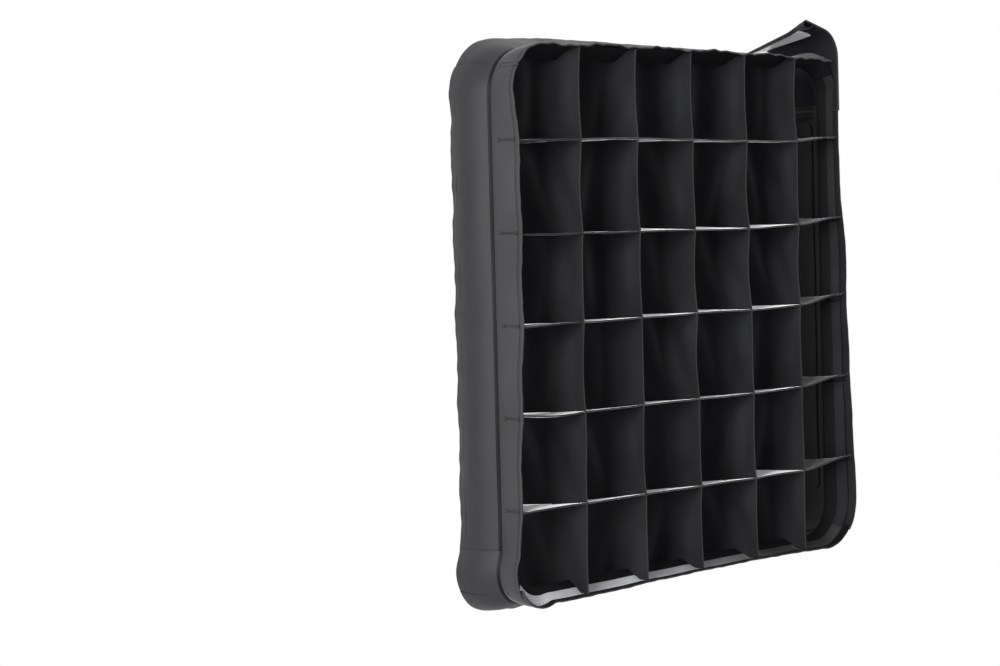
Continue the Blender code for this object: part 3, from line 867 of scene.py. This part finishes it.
def flap_wave(side, station, share):
    """Slow waves in a flap: more towards its hem, none at its seam."""
    slow = waves(station, SIDE_PHASE[side], SLOW_WAVES)
    quick = waves(station, SIDE_PHASE[side], QUICK_WAVES)
    ripple = TOP_RIPPLE if side == "top" else FLAP_RIPPLE
    wave = FLAP_WAVE * slow * math.sin(math.pi * share) + ripple * quick * share ** 3
    return wave * (1 - to_seam(side, station))


def swell_at(side, station):
    """How far a flap swells, which meets its neighbour's swell at the corner seam."""
    own, other = FLAP_SWELL[side], FLAP_SWELL[NEIGHBOURS[side][station > 0]]
    return own + (other - own) / 2 * to_seam(side, station)


def flap_rise(side, station, share):
    """How far out a flap's outer face lies at a share of the way from its seam to its hem."""
    hem = along_line(HEM_OUT[side], share_along(side, station))
    swell = swell_at(side, station) * math.sin(math.pi * min(1.0, share) ** SWELL_LEAN)
    return swell + hem * share ** HEM_LEAN


def flap_section():
    """Shares of the way along a flap with the hem's turn in behind it, as how far in and how far back."""
    points = [(share, 0.0, SEAM_BACK + (HEM_BACK - SEAM_BACK) * share) for share in spread(0.0, 1.0, 16)]
    for turn in spread(0.0, math.pi, 8)[1:]:
        points.append((1.0, HEM_RADIUS * (1 - math.cos(turn)), HEM_BACK + HEM_RADIUS * math.sin(turn)))
    half_hem, whole_hem = HEM_BACK - HEM_WIDTH / 2, HEM_BACK - HEM_WIDTH
    points.append((half_hem / HEM_BACK, HEM_FULL * HEM_RADIUS, half_hem))
    points.append((whole_hem / HEM_BACK, HEM_END_IN, whole_hem))
    return points


def flap_ends(side):
    """A flap's first and last station, clear of the open ear and of the cloth that stays at a corner."""
    end = rim_end(side, FLAP_GAP)
    straight = side_half(side)[0] - CORNER_RADIUS - CORNER_STAY
    low = {"right": EAR_FOLD_ROOM - EAR_Z, "left": -straight}.get(side, -end)
    high = {"top": TOP_FLAP_END - TOP_FOLD_ROOM, "bottom": straight}.get(side, end)
    return low, high


def make_skirt(name, side, low, high, body, steps):
    """A stretch of the skirt behind the strip, with its hem and the hem's stitches."""
    section = flap_section()

    def shape(station, index):
        share, inward, back = section[index]
        out = flap_rise(side, station, share) - CLOTH / 2 - inward
        out += flap_wave(side, station, share)
        back += HEM_WAVE * share ** 2 * math.sin(station * HEM_WAVE_RATE + HEM_WAVE_SKEW * share)
        return wrapped(side, station, back, out)

    fold = (SEAM, lambda along, pair: pair[1] <= SEAM_ROWS)
    stations, rows = spread(low, high, steps), range(len(section))
    piece = cloth(f"{name}_cloth_{side}", stations, rows, shape, CLOTH, FLAP, None, LINING, fold)
    attach(piece, body)
    hem_share = 1 - HEM_WIDTH / FLAP_DEPTH
    run = []
    for station in spread(low + STITCH_INSET, high - STITCH_INSET, steps):
        out = flap_rise(side, station, hem_share) + flap_wave(side, station, hem_share)
        run.append(wrapped(side, station, hem_share * (FLAP_DEPTH - HEM_RADIUS), out))
    attach(stitches(f"{name}_stitches_{side}", [run], *HEM_STITCH), body)
    return piece


BACKING_WIDTH = 0.012
BACKING_IN = 1.5 * CLOTH + 0.0003
BACKING_SHARES = (0.03, 0.79)


def make_backing(side, name, place):
    """A tape behind the split at a flap's end, sewn to the cloth that stays."""
    at_most = EAR_X - HALF_WIDTH if side == "right" else FLAP_DEPTH

    def shape(station, share):
        rise = flap_rise(side, station, share) + flap_wave(side, station, share)
        return wrapped(side, station, HEM_BACK * share, min(rise, at_most) - BACKING_IN)

    stations = spread(place - BACKING_WIDTH / 2, place + BACKING_WIDTH / 2, 8)
    piece = cloth("backing_" + name, stations, spread(*BACKING_SHARES, 14), shape, CLOTH, LINING)
    attach(piece, "grid")


def make_flap(side):
    """A flap that folds out, and at the sagging corner the stretch of skirt that stays."""
    low, high = flap_ends(side)
    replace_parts(make_skirt("flap", side, low, high, side + "_flap", 110), "flap_" + side)
    end = rim_end(side, -CORNER_LAP)
    if side == "top":
        make_backing(side, "top_left", low)
    if side == "right":
        make_backing(side, "ear", low - EAR_FOLD_ROOM / 2)
    if side == "bottom":
        make_skirt("corner", side, high + FLAP_GAP, end, "grid", 12)
        make_backing(side, "bottom", high)
        make_backing(side, "bottom_right", low)
    if side == "left":
        make_skirt("corner", side, -end, low - FLAP_GAP, "grid", 12)
        make_backing(side, "left", low)


def round_end(along, low, high, corner):
    """How far a tape's edges pull in near its round ends."""
    from_end = min(along - low, high - along)
    if from_end >= corner:
        return 0.0
    return corner - math.sqrt(max(0.0, corner ** 2 - (corner - from_end) ** 2))


TAPE_INSET = 0.008
TAPE_CORNER = 0.006
TAPE_ROOM = 0.00015


def make_tape(side):
    """Loop tape with round ends inside a flap, lying against it."""
    straight = side_half(side)[0] - CORNER_RADIUS
    first, last = flap_ends(side)
    low, high = max(first, -straight) + TAPE_INSET, min(last, straight) - TAPE_INSET

    def shape(station, share):
        pull = round_end(station, low, high, TAPE_CORNER)
        back = TAPE_FRONT + pull + (TAPE_BACK - TAPE_FRONT - 2 * pull) * share
        out = flap_rise(side, station, back / HEM_BACK) + flap_wave(side, station, back / HEM_BACK)
        return wrapped(side, station, back, out - CLOTH - LOOP_TAPE / 2 - TAPE_ROOM)

    piece = cloth("tape_" + side, spread(low, high, 110), spread(0.0, 1.0, 8), shape, LOOP_TAPE, LOOPS)
    attach(piece, side + "_flap", "hook_tape_" + side)


# The open ear at the top right corner
def ear_point(station, inward, share):
    """A point of the ear: up its cloth, in from it, and a share across it from front to back."""
    shapes = (EAR_RUN, EAR_BEND, EAR_TURN, EAR_STRETCH)
    run, bend, turn, stretch = (low + (high - low) * share for low, high in shapes)
    station *= stretch
    slope = min(max(0.0, station - run) / bend, turn)
    rest = max(0.0, station - run - bend * turn)
    up = min(station, run) + bend * math.sin(slope) + rest * math.cos(slope) - inward * math.sin(slope)
    left = bend * (1 - math.cos(slope)) + rest * math.sin(slope) + inward * math.cos(slope)
    back = -STRIP_DEPTH + (STRIP_DEPTH + FLAP_DEPTH) * share
    forward = max(0.0, -back / STRIP_DEPTH)
    outs, backs = FRONT_SHIFT["right"]
    side_share = 0.5 + min(EAR_Z + up, HALF_HEIGHT) / (2 * HALF_HEIGHT)
    out = along_line(outs, side_share) * forward
    return EAR_X + out - left, back + along_line(backs, side_share) * forward, EAR_Z + up


def ear_wave(station, share):
    """A slow wave across the ear that dies away at its root and at its hem."""
    held = math.sin(math.pi * min(1.0, station / EAR_LENGTH)) ** 2
    return held * waves(share, 1.0, EAR_WAVES)


def ear_section():
    """Stations up the ear, then shares of the hem's radius round its turn and of its width behind that."""
    points = [("cloth", station, 0.0) for station in spread(0.0, EAR_LENGTH, 30)]
    points += [("turn", math.sin(turn), 1 - math.cos(turn)) for turn in spread(0.0, math.pi, 8)[1:]]
    return points + [("layer", 0.5, 1.95), ("layer", 1.0, 0.5)]


def ear_hem(share):
    """The hem's width and radius: it gapes at the ear's front end and lies narrow behind it."""
    reach = smooth(share / EAR_GAPE)
    return [low + (high - low) * reach for low, high in (EAR_HEM_WIDTH, EAR_HEM_RADIUS)]


def make_ear():
    """The open ear with its hem, the tape inside it, and the cords along its front edge and its root."""
    section = ear_section()
    shares = spread(1.0, 0.0, 30)

    def shape(index, share):
        sort, station, inward = section[index]
        width, radius = ear_hem(share)
        inward *= radius
        if sort == "turn":
            station = EAR_LENGTH + station * min(radius, HEM_RADIUS)
        elif sort == "layer":
            station = EAR_LENGTH - station * width
            inward = max(inward, 2 * CLOTH)
        return ear_point(station, inward + ear_wave(station, share), share)

    # Painted light: the ear's lining takes the lighter upright cloth, lighter than the lining elsewhere
    piece = cloth("ear_cloth", range(len(section)), shares, shape, CLOTH, FLAP, lining=UPRIGHT)
    attach(piece, "open_ear", "corner_ear")

    low, high = EAR_TAPE_SHARES

    def tape_shape(station, share):
        pull = round_end(share, low, high, EAR_TAPE_CORNER)
        middle = (EAR_TAPE[0] + EAR_TAPE[1]) / 2
        station = middle + (station - middle) * (1 - pull / EAR_TAPE_CORNER * EAR_TAPE_PULL)
        return ear_point(station, EAR_TAPE_IN + ear_wave(station, share), share)

    stations, tape_shares = spread(*EAR_TAPE, 8), spread(low, high, 40)
    tape = cloth("ear_tape_cloth", stations, tape_shares, tape_shape, HOOK_TAPE, HOOKS)
    attach(tape, "open_ear", "ear_tape")

    edge = [ear_point(station, ear_wave(station, 0.0), 0.0) for station in spread(0.0, EAR_LENGTH, 60)]
    attach(stitches("ear_edge_cord", [edge], *EAR_CORD), "open_ear")
    root = [ear_point(0.0, EAR_ROOT_IN, share) for share in spread(0.0, EAR_ROOT_END, 40)]
    attach(stitches("ear_root_seam", [root], *EAR_CORD), "grid")


for name in SIDE_TURN:
    make_strip(name)
    make_binding(name)
    make_strip_thread(name)
    make_sleeve(name)
    make_flap(name)
    make_tape(name)
make_ear()
for number in range(1, CELLS):
    make_louver("upright", number)
    make_louver("level", number)
for name, node in frame["nodes"].items():
    if name.startswith(("frame_rod", "corner_wire")):
        node.data.materials.clear()
        node.data.materials.append(ROD if name.startswith("frame_rod") else STEEL)


# Camera at the photograph's view
CAMERA_PLACE = Vector((-1.7481, -1.4146, 0.1009))
CAMERA_AHEAD = Vector((0.73245, 0.67890, -0.05119))
CAMERA_UP = Vector((0.05540, 0.01551, 0.99834))
CAMERA_LENS = 92.55
SENSOR_WIDTH = 36.0


def make_camera():
    data = bpy.data.cameras.new("camera")
    data.sensor_width = SENSOR_WIDTH
    data.lens = CAMERA_LENS
    camera = bpy.data.objects.new("camera", data)
    bpy.context.scene.collection.objects.link(camera)
    back = -CAMERA_AHEAD.normalized()
    right = CAMERA_UP.cross(back).normalized()
    up = back.cross(right)
    turn = Matrix((right, up, back)).transposed().to_4x4()
    camera.matrix_world = Matrix.Translation(CAMERA_PLACE) @ turn
    bpy.context.scene.camera = camera


# Light, floor and background
FLOOR_LEVEL, FLOOR_SIZE = -0.75, 3.0


def white_to_camera(tree):
    """One where the camera, a reflection or glass looks at it, and nothing for other light."""
    path = add(tree, "LightPath")
    white = path.outputs["Is Camera Ray"]
    for ray in ("Is Glossy Ray", "Is Transmission Ray"):
        either = add(tree, "Math")
        either.operation = "MAXIMUM"
        tree.links.new(white, either.inputs[0])
        tree.links.new(path.outputs[ray], either.inputs[1])
        white = either.outputs["Value"]
    return white


def make_world():
    """White to look at, with light that fades from what lies in front of the grid to what lies behind."""
    world = bpy.data.worlds.new("studio")
    bpy.context.scene.world = world
    world.use_nodes = True
    tree = world.node_tree
    y = add(tree, "SeparateXYZ", Vector=add(tree, "TexCoord").outputs["Generated"]).outputs["Y"]
    fading = add(tree, "MapRange", Value=y, From_Min=-0.4, From_Max=0.5, To_Min=0.40, To_Max=0.08)
    lit = put(tree.nodes["Background"], Color=(0.95, 0.97, 1.0, 1.0), Strength=fading.outputs["Result"])
    seen = add(tree, "Background", Color=(1.0, 1.0, 1.0, 1.0))
    mix = add(tree, "MixShader", Fac=white_to_camera(tree))
    tree.links.new(lit.outputs["Background"], mix.inputs[1])
    tree.links.new(seen.outputs["Background"], mix.inputs[2])
    put(tree.nodes["World Output"], Surface=mix.outputs["Shader"])


def make_floor():
    bpy.ops.mesh.primitive_plane_add(size=FLOOR_SIZE, location=(0.0, 0.0, FLOOR_LEVEL))
    floor = bpy.context.object
    floor.name = "floor"
    made, _, shader = new_material("floor_paper")
    put(shader, Base_Color=(0.9, 0.9, 0.9, 1.0), Roughness=0.9)
    floor.data.materials.append(made)


def area_light(name, place, target, size, power, glare=True):
    """A soft lamp; one without glare lights the cloth but shows in no reflection."""
    data = bpy.data.lights.new(name, "AREA")
    data.shape = "RECTANGLE"
    data.size, data.size_y = size
    data.energy = power
    lamp = bpy.data.objects.new(name, data)
    bpy.context.scene.collection.objects.link(lamp)
    lamp.location = place
    aim = Vector(target) - Vector(place)
    lamp.rotation_euler = aim.to_track_quat("-Z", "Y").to_euler()
    lamp.visible_glossy = glare


make_camera()
make_world()
make_floor()
area_light("key", (-2.38, -0.82, 0.5), (0.0, 0.0, 0.0), (0.8, 1.3), 66.0)
area_light("front", (-1.2, -2.2, 0.8), (0.0, 0.0, 0.0), (1.4, 1.4), 8.0)
area_light("above", (0.0, -0.6, 2.0), (0.0, 0.0, 0.0), (1.4, 1.4), 12.0)
area_light("behind", (0.12, 1.3, 0.3), (0.0, 0.0, 0.0), (0.4, 0.5), 8.0, glare=False)
bpy.context.scene.view_settings.view_transform = "Standard"
